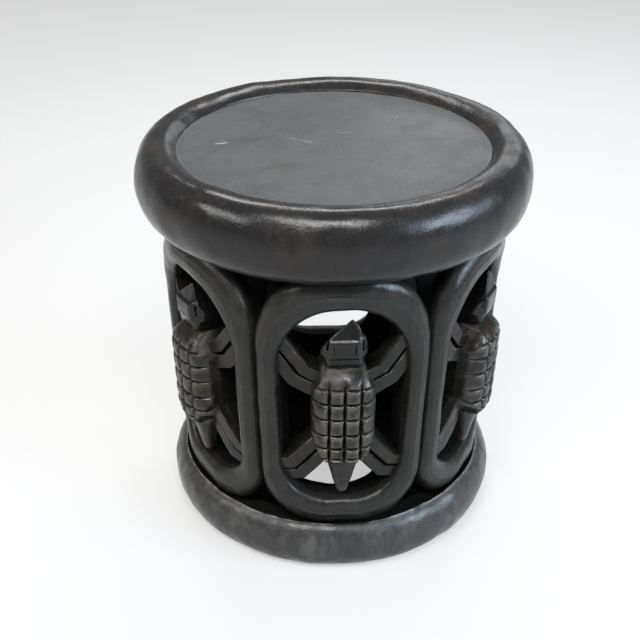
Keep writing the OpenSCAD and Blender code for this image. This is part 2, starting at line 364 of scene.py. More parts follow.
def edge_wear_highlight_shade_group():
    """Edges lightened partly as rubbed wear and partly as painted highlight, and hollows darkened as
    painted shade, from how the surface bends
    """
    group, into, out = group_of("edge wear", {"Reach": 0.06}, ["Edges", "Hollow shade"])
    bend = node_of(group, "ShaderNodeNewGeometry").outputs["Pointiness"]
    for label, side in (("Edges", 1.0), ("Hollow shade", -1.0)):
        far = calc(group, "MULTIPLY_ADD", into["Reach"], side, 0.5)
        values = {"Value": bend, "From Min": 0.5 + flat_bend * side, "From Max": far}
        group.links.new(node_of(group, "ShaderNodeMapRange", values).outputs["Result"], out[label])
    return group


def depth_group():
    """How far a place lies behind the drum's swelling face, where no polish reaches and the colour is
    darkened as painted shade
    """
    group, into, out = group_of("depth behind the face", {"Start": 0.008, "End": 0.016}, ["Mask"])
    place = node_of(group, "ShaderNodeSeparateXYZ", {"Vector": own_place(group)}).outputs
    across = calc(group, "MULTIPLY", place["X"], place["X"])
    out_squared = calc(group, "MULTIPLY_ADD", place["Y"], place["Y"], across)
    r = calc(group, "SQRT", out_squared)
    fall = calc(group, "MULTIPLY_ADD", place["Z"], -1.0 / drum_h, 1.0 + deck_z / drum_h)
    swell = calc(group, "MULTIPLY", calc(group, "MULTIPLY", fall, fall), face_top_r - face_foot_r)
    depth = calc(group, "SUBTRACT", calc(group, "SUBTRACT", face_top_r, swell), r)
    group.links.new(clear_step(group, depth, into["Start"], into["End"]), out["Mask"])
    return group


def mark_group():
    """One straight mark with a ragged edge: a scratch, a nick or a crease"""
    inputs = {"Centre": (0.0, 0.0, 0.0), "Way": (1.0, 0.0, 0.0), "Length": 0.01, "Width": 0.001}
    group, into, out = group_of("mark", inputs, ["Mask"])
    ragged = node_of(group, "ShaderNodeTexNoise", {"Vector": own_place(group), "Scale": 110.0})
    shift = vector_calc(group, "SUBTRACT", {0: ragged.outputs["Color"], 1: (0.5, 0.5, 0.5)})
    shift = vector_calc(group, "SCALE", {0: shift, "Scale": 0.004})
    place = vector_calc(group, "ADD", {0: own_place(group), 1: shift})
    place = vector_calc(group, "SUBTRACT", {0: place, 1: into["Centre"]})
    along = vector_calc(group, "DOT_PRODUCT", {0: place, 1: into["Way"]}, "Value")
    foot = vector_calc(group, "SCALE", {0: into["Way"], "Scale": along})
    across = vector_calc(group, "DISTANCE", {0: place, 1: foot}, "Value")
    end = calc(group, "MULTIPLY", into["Length"], 0.5)
    side = calc(group, "MULTIPLY", into["Width"], 0.5)
    run = clear_step(group, calc(group, "ABSOLUTE", along), end, calc(group, "MULTIPLY", end, 0.5))
    thin = clear_step(group, across, side, calc(group, "MULTIPLY", side, 0.3))
    group.links.new(calc(group, "MULTIPLY", run, thin), out["Mask"])
    return group


grain = wood_grain_group()
patches = patches_group()
hairlines = hairlines_group()
edge_wear_highlight_shade = edge_wear_highlight_shade_group()
behind_face = depth_group()
mark = mark_group()


def placed(tree, group, **values):
    """Group node: its tree comes first, so that its sockets are there to be set"""
    node = tree.nodes.new("ShaderNodeGroup")
    node.node_tree = group
    for label, value in values.items():
        node.inputs[label].default_value = value
    return node.outputs


def marks_of(tree, marks):
    """Mask of several marks, each a centre, a way, a length and a width"""
    last = 0.0
    for centre, way, length, width in marks:
        way = tuple(Vector(way).normalized())
        one = placed(tree, mark, Centre=centre, Way=way, Length=length, Width=width)["Mask"]
        last = calc(tree, "MAXIMUM", one, last)
    return last


def times(colour, share):
    """The same colour, made lighter or darker"""
    return tuple(min(1.0, share * part) for part in colour)


def bumped(tree, height, distance, normal=None, sunk=False):
    """Normal that rises with a height, or sinks, on top of another one"""
    values = {"Height": height, "Distance": distance}
    if normal is not None:
        values["Normal"] = normal
    return node_of(tree, "ShaderNodeBump", values, invert=sunk).outputs["Normal"]


def new_wood(name, gloss_level):
    """Empty wood material with its shader joined to its output"""
    material = bpy.data.materials.new(name)
    material.use_nodes = True
    tree = material.node_tree
    tree.nodes.clear()
    out = node_of(tree, "ShaderNodeOutputMaterial")
    shader = node_of(tree, "ShaderNodeBsdfPrincipled", {"IOR": 1.5, "Specular IOR Level": gloss_level})
    tree.links.new(shader.outputs["BSDF"], out.inputs["Surface"])
    return material, tree, shader


scar_colour = (0.30, 0.29, 0.28)
pore_depth = 0.00012
scratch_depth = 0.0003


def waxed_wood(
    name, dark, light, brown, brown_share, gloss, dull, wear_and_highlight, tool_size, tool_depth, grit, scratch,
    unpolished_shade_ends=None, pale_marks=(), dark_marks=(), worn_below=None,
):
    """Black-stained waxed wood with its streaks, edges lightened as wear and as painted highlight,
    hollows and the wood behind the face darkened as painted shade, tool marks and scratches
    """
    material, tree, shader = new_wood(name, 0.32)
    lines = placed(tree, grain, Fineness=1.0)
    wax = placed(tree, patches, Scale=16.0, Low=0.40, High=0.64)["Mask"]
    stain = placed(tree, patches, Scale=24.0, Low=0.52, High=0.66)["Mask"]
    rub_and_highlight = placed(tree, patches, Scale=70.0, Low=0.36, High=0.58)["Mask"]
    bends = placed(tree, edge_wear_highlight_shade, Reach=0.05)
    hairs = calc(tree, "MULTIPLY", placed(tree, hairlines, Scale=480.0, Share=0.71)["Mask"], scratch)

    colour = blend(tree, lines["Streaks"], dark, light)
    colour = blend(tree, calc(tree, "MULTIPLY", stain, brown_share), colour, brown)
    # Edges lightened partly as rubbed wear and partly as painted highlight
    worn_and_highlit = calc(tree, "MULTIPLY", calc(tree, "MULTIPLY", bends["Edges"], rub_and_highlight), wear_and_highlight)
    colour = blend(tree, worn_and_highlit, colour, times(light, 5.0))
    # Hollows darkened as painted shade
    colour = blend(tree, calc(tree, "MULTIPLY", bends["Hollow shade"], 0.9), colour, times(dark, 0.2))
    colour = blend(tree, hairs, colour, times(light, 3.5))
    if worn_below:
        height = node_of(tree, "ShaderNodeSeparateXYZ", {"Vector": own_place(tree)}).outputs["Z"]
        tip = clear_step(tree, height, worn_below[0], worn_below[1])
        colour = blend(tree, calc(tree, "MULTIPLY", tip, 0.8), colour, brown)
    if pale_marks:
        scar = marks_of(tree, pale_marks)
        colour = blend(tree, calc(tree, "MULTIPLY", scar, 0.8), colour, scar_colour)
    if dark_marks:
        cut = marks_of(tree, dark_marks)
        colour = blend(tree, cut, colour, times(dark, 0.15))
    rough = clear_step(tree, wax, 0.0, 1.0, gloss, dull)
    rough = calc(tree, "MULTIPLY_ADD", calc(tree, "SUBTRACT", lines["Grit"], 0.5), 0.35, rough)
    rough = calc(tree, "MULTIPLY_ADD", bends["Hollow shade"], 0.25, rough)
    if unpolished_shade_ends:
        unpolished_and_shaded = placed(tree, behind_face, Start=unpolished_shade_ends[0], End=unpolished_shade_ends[1])["Mask"]
        # Behind the drum's face the wood is darker as painted shade and rougher as unpolished wood
        colour = blend(tree, unpolished_and_shaded, colour, times(dark, 0.12))
        rough = calc(tree, "MULTIPLY_ADD", unpolished_and_shaded, 0.5, rough)
    tree.links.new(colour, shader.inputs["Base Color"])
    tree.links.new(calc(tree, "MINIMUM", rough, 0.95), shader.inputs["Roughness"])

    values = {"Vector": own_place(tree), "Scale": 1.0 / tool_size, "Smoothness": 0.7}
    tool = node_of(tree, "ShaderNodeTexVoronoi", values, feature="SMOOTH_F1")
    normal = bumped(tree, tool.outputs["Distance"], tool_depth)
    normal = bumped(tree, lines["Grit"], grit, normal)
    normal = bumped(tree, lines["Pores"], pore_depth, normal)
    if dark_marks:
        hairs = calc(tree, "ADD", hairs, calc(tree, "MULTIPLY", cut, 2.0))
    tree.links.new(bumped(tree, hairs, scratch_depth, normal, sunk=True), shader.inputs["Normal"])
    return material


# Marks, each a centre, a way, a length and a width
drying_crack = [
    ((0.0206, -0.1985, 0.3860), (0.03, 0.2, -1.0), 0.012, 0.0009),
    ((0.0214, -0.1975, 0.3740), (0.06, 0.1, -1.0), 0.018, 0.0011),
    ((0.0225, -0.1925, 0.3600), (0.08, 0.5, -1.0), 0.018, 0.0011),
    ((0.0240, -0.1800, 0.3475), (0.08, 1.3, -1.0), 0.022, 0.0010),
]
rim_nicks = [
    ((-0.0976, -0.1740, 0.3830), (1.0, -0.5, 0.3), 0.009, 0.0016),
    ((-0.0940, -0.1760, 0.3880), (1.0, -0.4, -0.8), 0.006, 0.0014),
    ((-0.0107, -0.1940, 0.4030), (1.0, 0.0, 0.1), 0.004, 0.0020),
    ((-0.0180, -0.1955, 0.3960), (1.0, 0.0, 0.4), 0.003, 0.0016),
    ((0.0060, -0.1960, 0.3950), (1.0, 0.1, -0.2), 0.012, 0.0012),
]
rim_scars = [((-0.1371, -0.1452, 0.3748), (0.8, -0.75, -0.14), 0.011, 0.0012)]
dish_creases = [
    ((0.034, -0.046, 0.405), (1.0, 0.25, 0.0), 0.013, 0.0018),
    ((0.091, -0.053, 0.405), (1.0, -0.35, 0.0), 0.020, 0.0018),
    ((0.096, -0.066, 0.405), (1.0, -0.20, 0.0), 0.012, 0.0016),
    ((0.112, -0.030, 0.405), (1.0, -0.15, 0.0), 0.024, 0.0014),
    ((0.028, -0.038, 0.405), (1.0, 0.30, 0.0), 0.010, 0.0012),
]
dish_scars = [
    ((0.065, 0.062, 0.405), (0.55, 1.0, 0.0), 0.050, 0.0012),
    ((-0.030, 0.010, 0.405), (1.0, -0.55, 0.0), 0.045, 0.0014),
    ((-0.060, -0.062, 0.405), (1.0, 0.1, 0.0), 0.016, 0.0012),
    ((-0.112, 0.008, 0.405), (1.0, 0.2, 0.0), 0.016, 0.0050),
    ((0.010, 0.030, 0.405), (1.0, 0.05, 0.0), 0.020, 0.0012),
    ((0.060, 0.048, 0.405), (1.0, 0.02, 0.0), 0.026, 0.0010),
]
base_nicks = [
    ((0.1080, -0.1180, 0.0560), (0.1, 0.3, -1.0), 0.016, 0.0018),
    ((0.1330, -0.1060, 0.0555), (0.3, 0.1, -1.0), 0.018, 0.0018),
    ((0.0600, -0.1520, 0.0570), (0.2, 0.6, -0.5), 0.010, 0.0012),
    ((0.0850, -0.1590, 0.0250), (0.0, 0.1, -1.0), 0.014, 0.0010),
]

rim_wood = waxed_wood(
    "waxed black seat rim", (0.0055, 0.0052, 0.0052), (0.023, 0.0218, 0.0218), (0.036, 0.026, 0.020),
    brown_share=0.35, gloss=0.16, dull=0.27, wear_and_highlight=0.5, tool_size=0.035, tool_depth=0.0012, grit=0.00018,
    scratch=0.12, pale_marks=rim_scars, dark_marks=drying_crack + rim_nicks,
)
# The sitting face's wood is paler than the rim's as a painted sheen of the light from above
dish_wood = waxed_wood(
    "dull sitting face, paler as painted sheen", (0.038, 0.040, 0.041), (0.072, 0.074, 0.076), (0.046, 0.048, 0.046),
    brown_share=0.7, gloss=0.36, dull=0.54, wear_and_highlight=0.2, tool_size=0.05, tool_depth=0.0006, grit=0.0002,
    scratch=0.12, pale_marks=dish_scars, dark_marks=dish_creases,
)
base_wood = waxed_wood(
    "dry worn black base", (0.008, 0.008, 0.008), (0.078, 0.076, 0.074), (0.105, 0.102, 0.098),
    brown_share=0.6, gloss=0.20, dull=0.36, wear_and_highlight=0.35, tool_size=0.018, tool_depth=0.0014, grit=0.00025,
    scratch=0.1, dark_marks=base_nicks,
)
frame_wood = waxed_wood(
    "waxed black frames", (0.005, 0.005, 0.0045), (0.024, 0.0235, 0.021), (0.040, 0.036, 0.029),
    brown_share=0.3, gloss=0.24, dull=0.38, wear_and_highlight=0.7, tool_size=0.022, tool_depth=0.0009, grit=0.00015,
    scratch=0.1, unpolished_shade_ends=(0.009, 0.019),
)
shell_wood = waxed_wood(
    "rubbed turtle shells", (0.0045, 0.0043, 0.0038), (0.0155, 0.0145, 0.0122), (0.060, 0.033, 0.020),
    brown_share=0.35, gloss=0.20, dull=0.44, wear_and_highlight=1.0, tool_size=0.012, tool_depth=0.0005, grit=0.00015,
    scratch=0.1, unpolished_shade_ends=(0.012, 0.024),
)
head_wood = waxed_wood(
    "polished turtle heads", (0.0035, 0.0035, 0.0035), (0.010, 0.010, 0.0096), (0.030, 0.022, 0.017),
    brown_share=0.3, gloss=0.18, dull=0.30, wear_and_highlight=1.0, tool_size=0.014, tool_depth=0.0005, grit=0.0001,
    scratch=0.1, unpolished_shade_ends=(0.012, 0.022),
)
leg_wood = waxed_wood(
    "waxed turtle legs", (0.0045, 0.0043, 0.0038), (0.0145, 0.0138, 0.0120), (0.045, 0.030, 0.021),
    brown_share=0.35, gloss=0.19, dull=0.36, wear_and_highlight=1.0, tool_size=0.012, tool_depth=0.0006, grit=0.00015,
    scratch=0.1, unpolished_shade_ends=(0.013, 0.020),
)
tail_wood = waxed_wood(
    "worn turtle tails", (0.007, 0.0066, 0.006), (0.020, 0.0185, 0.016), (0.14, 0.075, 0.045),
    brown_share=0.1, gloss=0.32, dull=0.46, wear_and_highlight=0.8, tool_size=0.014, tool_depth=0.0006, grit=0.00015,
    scratch=0.1, unpolished_shade_ends=(0.016, 0.026), worn_below=(0.107, 0.094),
)


def raw_wood_painted_shade():
    """Unpolished wood inside the drum: dull and rough from the chisel, and nearly black as painted shade
    """
    material, tree, shader = new_wood("raw inside wood, darkened as painted shade", 0.1)
    lines = placed(tree, grain, Fineness=0.8)
    dust = placed(tree, patches, Scale=30.0, Low=0.45, High=0.7)["Mask"]
    # Nearly black as painted shade, with real dust here and there
    colour = blend(tree, lines["Streaks"], (0.0022, 0.0021, 0.0020), (0.0060, 0.0056, 0.0052))
    colour = blend(tree, calc(tree, "MULTIPLY", dust, 0.35), colour, (0.012, 0.011, 0.010))
    tree.links.new(colour, shader.inputs["Base Color"])
    tree.links.new(clear_step(tree, lines["Grit"], 0.3, 0.7, 0.75, 0.95), shader.inputs["Roughness"])
    cuts = node_of(tree, "ShaderNodeTexVoronoi", {"Vector": own_place(tree), "Scale": 90.0}, feature="F1")
    tree.links.new(bumped(tree, cuts.outputs["Distance"], 0.0012), shader.inputs["Normal"])
    return material


raw_inside_painted_shade = raw_wood_painted_shade()


def left_raw_in_painted_shade(piece, is_inside):
    """Gives the faces that no polish reaches the raw wood, whose dark colour is painted shade"""
    piece.data.materials.append(raw_inside_painted_shade)
    for face in piece.data.polygons:
        if is_inside(face.center):
            face.material_index = 1


def deep(depth):
    """Test for places that lie more than a depth behind the drum's face"""
    def is_deep(centre):
        return math.hypot(centre.x, centre.y) < face_r(centre.z) - depth
    return is_deep


# Seat

turned_steps = 288
dish_steps = 192
roll_steps = 36
slope_steps = 14
slope_bend = 1.45


def rim_piece():
    """Rolled outside, then a slope that drops ever faster to the sitting face"""
    mid_z = (seat_z0 + seat_z1) / 2
    half_h = (seat_z1 - seat_z0) / 2
    bulge = seat_r - seat_crest_r
    section = [(r, seat_z0) for r in (dish_r + 0.0002, 0.160, 0.165, 0.170)]
    for i in range(roll_steps + 1):
        a = math.pi * (i / roll_steps - 0.5)
        section.append((seat_crest_r + bulge * math.cos(a), mid_z + half_h * math.sin(a)))
    for i in range(1, slope_steps + 1):
        u = i / slope_steps
        sink = 1 - math.cos(math.pi / 2 * u ** slope_bend)
        section.append((mix(seat_crest_r, dish_r + 0.0008, u), mix(seat_z1, dish_z + dish_step, sink)))
    section += [(dish_r + 0.0006, dish_z + dish_step * 0.8), (dish_r + 0.0003, dish_z - 0.0004)]
    section += [(dish_r + 0.0002, mix(seat_z0, dish_z, t)) for t in (0.75, 0.5, 0.25, 0.0)]
    return turned("seat_rim_turned", section, turned_steps)


rim = rim_piece()
waver(rim, rim_waves)
kept_within(rim, seat_most_r, seat_z0 - 0.0002, seat_most_z)
shaded(rim, 40)
mounted(rim, rim_wood, "rim_wood", "seat_rim")


def under_seat(centre):
    return centre.z < seat_z0 + 0.002


def under_rim(centre):
    return under_seat(centre) and math.hypot(centre.x, centre.y) < rim_under_r


left_raw_in_painted_shade(rim, under_rim)


def dish_piece():
    side_r = dish_r + 0.0001
    section = [(0.0, seat_z0), (0.05, seat_z0), (0.1, seat_z0), (dish_r, seat_z0)]
    section += [(side_r, mix(seat_z0, dish_z, 0.5)), (side_r, dish_z - 0.0008), (side_r, dish_z)]
    for r in (0.1555, 0.152, 0.145, 0.135, 0.122, 0.106, 0.088, 0.068, 0.047, 0.025, 0.0):
        section.append((r, dish_z))
    return turned("seat_dish_turned", section, dish_steps)


dish = dish_piece()
for vert in dish.data.vertices:
    if vert.co.z > dish_z - 0.001:
        spot = Vector((vert.co.x * dish_wave_scale, vert.co.y * dish_wave_scale, 1.0))
        share = min(1.0, (dish_r - math.hypot(vert.co.x, vert.co.y)) / dish_edge_run)
        vert.co.z -= dish_wave_depth * (1 + noise.noise(spot)) * share
shaded(dish, 30)
mounted(dish, dish_wood, "dish_wood", "seat_dish")
left_raw_in_painted_shade(dish, under_seat)

# Base

bulge_steps = 32


def base_piece():
    """Bulged ring with a step for the drum, a well inside it and a hole through its floor"""
    bulge = base_r - base_foot_r
    section = [(base_hole_r, 0.0), (base_hole_r + 0.03, 0.0), (base_foot_r - 0.03, 0.0)]
    for i in range(bulge_steps + 1):
        a = math.pi * (i / bulge_steps - 0.5)
        r = base_foot_r + bulge * math.cos(a)
        z = base_h / 2 * (1 + math.sin(a))
        if a > 0 and r < recess_r + 0.0022:
            break
        section.append((r, z))
    section += [(recess_r + 0.0012, base_h - 0.0010), (recess_r + 0.0004, base_h - 0.0026)]
    section += [(recess_r, deck_z + 0.003), (recess_r - 0.0006, deck_z), (0.15, deck_z)]
    section += [(bore_r + 0.001, deck_z), (bore_r, deck_z - 0.001), (bore_r, base_floor_z + 0.004)]
    section += [(bore_r - 0.004, base_floor_z), (0.1, base_floor_z)]
    section += [(base_hole_r + 0.002, base_floor_z), (base_hole_r, base_floor_z - 0.002)]
    section += [(base_hole_r, 0.0)]
    return turned("base_ring", section, turned_steps)


# Hand-cut edge of the recess: slow and quick strays, and a step near the front, between two turns
slow_stray = 0.0011
quick_stray = 0.0006
step_depth = 0.0022
step_start = -0.42
step_end = 0.55
edge_reach = 0.004


def edge_shift(turn):
    """How far the hand-cut edge of the recess strays from its circle"""
    shift = slow_stray * noise.noise(Vector((math.sin(turn) * 3, math.cos(turn) * 3, 0.5)))
    shift += quick_stray * noise.noise(Vector((math.sin(turn) * 14, math.cos(turn) * 14, 2.5)))
    rise = max(0.0, min(1.0, (turn - step_start) / 0.03))
    fall = max(0.0, min(1.0, (step_end - turn) / 0.3))
    return shift + step_depth * rise * fall


base = base_piece()
for vert in base.data.vertices:
    r = math.hypot(vert.co.x, vert.co.y)
    if vert.co.z > deck_z + 0.002 and r < recess_r + edge_reach:
        turn = math.atan2(vert.co.x, -vert.co.y)
        moved = r + edge_shift(turn) * min(1.0, (recess_r + edge_reach - r) / 0.0025)
        vert.co.x *= moved / r
        vert.co.y *= moved / r
waver(base, base_waves)
kept_within(base, base_most_r, 0.0, base_most_z)
shaded(base, 40)
mounted(base, base_wood, "base_wood", "base_ring", "base_floor")


def inside_base(centre):
    return math.hypot(centre.x, centre.y) < recess_r - 0.003 and centre.z > 0.002


left_raw_in_painted_shade(base, inside_base)

# Oval frames

# Elliptical corners of the ovals, as width and height at the foot, then at the head
window_corners = (0.0527, 0.042, 0.0627, 0.070)
outer_corners = (0.062, 0.058, 0.066, 0.076)
rear_corners = (0.030, 0.030, 0.020, 0.022)
corner_steps = 22

# Rounded edges of a frame's bar and the slight crown between them
window_edge_w = 0.009
window_edge_h = 0.0085
outer_edge_w = 0.0105
outer_edge_h = 0.012
edge_steps = 7
bar_crown = 0.0003


def oval(half_w, z0, z1, foot_w, foot_h, head_w, head_h):
    """Upright oval with elliptical corners, as (distance round the drum, height)"""
    low = z0 + foot_h
    high = z1 - head_h
    points = [(half_w, mix(low, high, i / 5)) for i in range(1, 5)]
    corners = (
        (half_w - head_w, high, head_w, head_h),
        (head_w - half_w, high, head_w, head_h),
        (foot_w - half_w, low, foot_w, foot_h),
        (half_w - foot_w, low, foot_w, foot_h),
    )
    for quarter, (s, z, w, h) in enumerate(corners):
        if quarter == 2:
            points += [(-half_w, mix(high, low, i / 5)) for i in range(1, 5)]
        for i in range(corner_steps + 1):
            a = math.pi / 2 * (quarter + i / corner_steps)
            points.append((s + w * math.cos(a), z + h * math.sin(a)))
    return points


def frame_piece(sill_lift):
    """Bar of a frame, swept round the ovals: a share of the way out, a drop and whether it is the back"""
    inner = oval(window_half_w, window_z0 + sill_lift, window_z1, *window_corners)
    outer = oval(frame_half_w, deck_z, frame_z1, *outer_corners)
    rear = oval(frame_half_w, deck_z, frame_z1, *rear_corners)
    bar_w = frame_half_w - window_half_w
    section = [(0.0, 0.028, False), (0.0, 0.018, False), (0.0, 0.012, False)]
    for i in range(edge_steps + 1):
        a = math.pi / 2 * i / edge_steps
        share = window_edge_w / bar_w * (1 - math.cos(a))
        section.append((share, window_edge_h * (1 - math.sin(a)), False))
    section += [(0.42, -bar_crown, False), (0.52, -bar_crown, False)]
    for i in range(edge_steps + 1):
        a = math.pi / 2 * (1 - i / edge_steps)
        share = 1 - outer_edge_w / bar_w * (1 - math.cos(a))
        section.append((share, outer_edge_h * (1 - math.sin(a)), False))
    section += [(1.0, 0.018, False), (1.0, 0.024, False)]
    section += [(1.0, 0.0, True), (0.5, 0.0, True), (0.0, 0.0, True)]
    section.append(section[0])
    rings = []
    for share, drop, is_back in section:
        ring = []
        for (s0, z0), (s1, z1) in zip(inner, rear if is_back else outer):
            s = mix(s0, s1, share)
            z = mix(z0, z1, share)
            r = bore_r if is_back else max(face_r(z) - drop, bore_r + 0.002)
            ring.append(polar(r, s / face_mid_r, z))
        rings.append(ring)
    return swept("oval_frame_pattern", rings)


frame_pattern = frame_piece(0.0)
back_pattern = frame_piece(back_sill_lift)
for k in range(1, frame_count + 1):
    pattern = back_pattern if k == back_frame else frame_pattern
    bar = copied(pattern, f"oval_frame_carved_{k}", (k - 1) * pitch)
    subdivided(bar, 1)
    waver(bar, frame_waves)
    kept_within(bar, drum_most_r, deck_z, frame_z1)
    shaded(bar, 50)
    mounted(bar, frame_wood, "frame_wood", f"oval_frame_{k}")
    left_raw_in_painted_shade(bar, deep(frame_raw_shade_depth))
bpy.data.objects.remove(frame_pattern)
bpy.data.objects.remove(back_pattern)

# Turtle shells

column_cuts = (-0.0145, 0.0002, 0.0160)
row_cuts = (0.1492, 0.1618, 0.1778, 0.1966, 0.2146, 0.2310)
cut_half_w = 0.0011
cut_depth = 0.0036
cut_side_w = 2.2 * cut_half_w
upright_end_z = 0.2370
upright_fade = 0.002
cell_steps = 5
shell_edge_w = 0.0008
side_bow = 0.0058
edge_bow = 0.0085
cap_slope = 0.016
foot_slope = 0.006
square_rise = 0.0015
cap_rise = 0.0011
shell_lean = 0.035

# Cuts at the shell's corners, each a point and the way that its facet looks
shell_corners = (
    ((0.0305, -0.174, 0.2235), (0.875, -0.05, 0.485)),
    ((0.0200, -0.174, 0.2430), (0.640, -0.20, 0.742)),
    ((0.0305, -0.174, 0.1700), (0.921, -0.05, -0.390)),
    ((0.0250, -0.174, 0.1570), (0.844, -0.05, -0.537)),
)


def stations(low, high, cuts):
    """Lines of a grid that crowd round each cut"""
    last = low + shell_edge_w
    lines = [low, last]
    for cut in list(cuts) + [high - shell_edge_w]:
        end = cut - cut_side_w if cut in cuts else cut
        for i in range(1, cell_steps + 1):
            lines.append(mix(last, end, i / cell_steps))
        if cut in cuts:
            last = cut + cut_side_w
            lines += [cut - cut_half_w, cut, cut + cut_half_w, last]
    lines.append(high)
    return lines


def cut_share(value, cuts):
    """1 at the middle of a cut, 0 clear of it"""
    near = min(abs(value - cut) for cut in cuts)
    return max(0.0, 1 - near / (1.7 * cut_half_w))


def cell_rise(value, low, high, cuts):
    """Cushion between the cuts on either side"""
    edges = [low] + list(cuts) + [high]
    for a, b in zip(edges, edges[1:]):
        if a <= value <= b:
            u = (value - a) / (b - a) * 2 - 1
            return 1 - abs(u) ** 2.6
    return 0.0


def shell_piece():
    """Grid bent to the dome with its cuts pressed in, then pulled back to the drum's hollow"""
    lines_x = stations(-shell_half_w, shell_half_w, column_cuts)
    lines_z = stations(shell_z0, shell_z1, row_cuts)
    bpy.ops.object.select_all(action="DESELECT")
    bpy.ops.mesh.primitive_grid_add(
        x_subdivisions=len(lines_x) - 1, y_subdivisions=len(lines_z) - 1, size=2
    )
    piece = bpy.context.object
    piece.name = "shell_pattern"
    wide = len(lines_x)
    cap_z = row_cuts[-1]
    for number, vert in enumerate(piece.data.vertices):
        x = lines_x[number % wide]
        z = lines_z[number // wide]
        share = x / shell_half_w
        bow = side_bow * share ** 2 + edge_bow * abs(share) ** 6
        top = max(0.0, (z - cap_z + 0.002) / (shell_z1 - cap_z + 0.002))
        foot = max(0.0, (row_cuts[0] - z) / (row_cuts[0] - shell_z0))
        slope = cap_slope * top ** 1.7 + foot_slope * foot ** 1.5
        upright = cut_share(x, column_cuts) * max(0.0, min(1.0, (upright_end_z - z) / upright_fade))
        level = cut_share(z, row_cuts)
        groove = cut_depth * max(upright, level)
        rise = square_rise * cell_rise(x, -shell_half_w, shell_half_w, column_cuts)
        if z < cap_z:
            rise *= cell_rise(z, shell_z0, cap_z, row_cuts[:-1])
        else:
            rise = cap_rise
        waves = noise.noise(Vector((x * 40, z * 40, 3.0)))
        px = x + 0.0007 * noise.noise(Vector((0.0, z * 60, x * 15)))
        pz = z + 0.0008 * noise.noise(Vector((x * 60, 5.0, z * 15)))
        lean = shell_lean * (z - (shell_z0 + shell_z1) / 2)
        depth = shell_face_r - bow - slope - groove + rise + lean + 0.0004 * waves
        vert.co = (px, -depth, pz)
    only(piece)
    bpy.ops.object.mode_set(mode="EDIT")
    bpy.ops.mesh.select_all(action="SELECT")
    bpy.ops.mesh.normals_make_consistent(inside=False)
    bpy.ops.mesh.region_to_loop()
    for back in (0.004, 0.010, 0.024):
        bpy.ops.mesh.extrude_edges_indiv()
        bpy.ops.transform.translate(value=(0, back, 0))
    bpy.ops.mesh.edge_face_add()
    bpy.ops.mesh.select_all(action="SELECT")
    bpy.ops.mesh.normals_make_consistent(inside=False)
    bpy.ops.object.mode_set(mode="OBJECT")
    back_r = bore_r + 0.0004
    for vert in piece.data.vertices:
        if math.hypot(vert.co.x, vert.co.y) < back_r:
            vert.co.y = -math.sqrt(back_r ** 2 - vert.co.x ** 2)
    for side in (1, -1):
        chisel(piece, on_side(side, shell_corners))
    return piece


shell_pattern = shell_piece()

# Turtle heads

weld_cell = 0.0007
rounding_passes = 24
jaw_top_z = 0.2835
helmet_low_z = 0.262
jaw_lift = 0.0012

# Cuts of the head, each a point and the way that its facet looks
gables = [
    ((0.0201, -0.176, 0.2855), (0.842, 0.330, 0.426)),
    ((0.0150, -0.176, 0.2955), (0.608, 0.250, 0.754)),
    ((-0.0223, -0.176, 0.2750), (-0.739, 0.507, 0.676)),
]
jaw_front = [
    ((0, -0.1764, 0.2690), (0, -0.970, -0.243)),
    ((0, -0.1735, 0.2545), (0, -0.830, -0.558)),
    ((0, -0.1768, 0.2798), (0, -0.62, 0.785)),
]
jaw_sides = [
    ((0.0130, -0.1768, 0.272), (0.740, -0.670, -0.05)),
    ((0.0190, -0.1725, 0.272), (0.930, -0.360, -0.08)),
    ((0.0223, -0.165, 0.2690), (0.94, -0.05, -0.34)),
]
helmet_front = [
    ((0, -0.1755, 0.278), (0, -0.955, 0.296)),
    ((0.0140, -0.1755, 0.286), (0.66, -0.62, 0.42)),
    ((-0.0150, -0.1755, 0.284), (-0.64, -0.66, 0.40)),
    ((0.0040, -0.1680, 0.3005), (0.15, -0.45, 0.88)),
]
helmet_sides = [((0.0125, -0.1762, 0.275), (0.759, -0.652, 0.10))]

# Slits of the head, each a place, a length, a width and a lean
slit_depth = 0.0060
head_slits = [
    ((-0.0098, -0.1760, 0.2715), 0.0085, 0.0012, -0.04),
    ((0.0104, -0.1760, 0.2720), 0.0105, 0.0013, 0.03),
    ((-0.0158, -0.1725, 0.2760), 0.0125, 0.0022, 0.10),
    ((0.0176, -0.1710, 0.2745), 0.0120, 0.0018, 0.02),
]


def block(name, low, high):
    """Squared block between two corners, to be cut"""
    bpy.ops.object.select_all(action="DESELECT")
    middle = [(a + b) / 2 for a, b in zip(low, high)]
    bpy.ops.mesh.primitive_cube_add(size=1, location=middle)
    piece = bpy.context.object
    piece.name = name
    piece.scale = [b - a for a, b in zip(low, high)]
    bpy.ops.object.transform_apply(location=True, rotation=True, scale=True)
    return piece


def slit(piece, place, length, width, lean):
    """Narrow upright cut made with one stroke of the knife"""
    knife = block("knife", (-width / 2, -slit_depth, -length / 2), (width / 2, slit_depth, length / 2))
    knife.data.transform(Matrix.Translation(place) @ Matrix.Rotation(lean, 4, "Y"))
    only(piece)
    cut = piece.modifiers.new("slit", "BOOLEAN")
    cut.operation = "DIFFERENCE"
    cut.object = knife
    cut.solver = "EXACT"
    bpy.ops.object.modifier_apply(modifier="slit")
    bpy.data.objects.remove(knife)


def softened(piece):
    """Welds the cut blocks into one skin and rounds the edges, as handling does"""
    only(piece)
    weld = piece.modifiers.new("weld", "REMESH")
    weld.mode = "VOXEL"
    weld.voxel_size = weld_cell
    bpy.ops.object.modifier_apply(modifier=weld.name)
    rounding = piece.modifiers.new("rounding", "SMOOTH")
    rounding.factor = 0.5
    rounding.iterations = rounding_passes
    bpy.ops.object.modifier_apply(modifier=rounding.name)


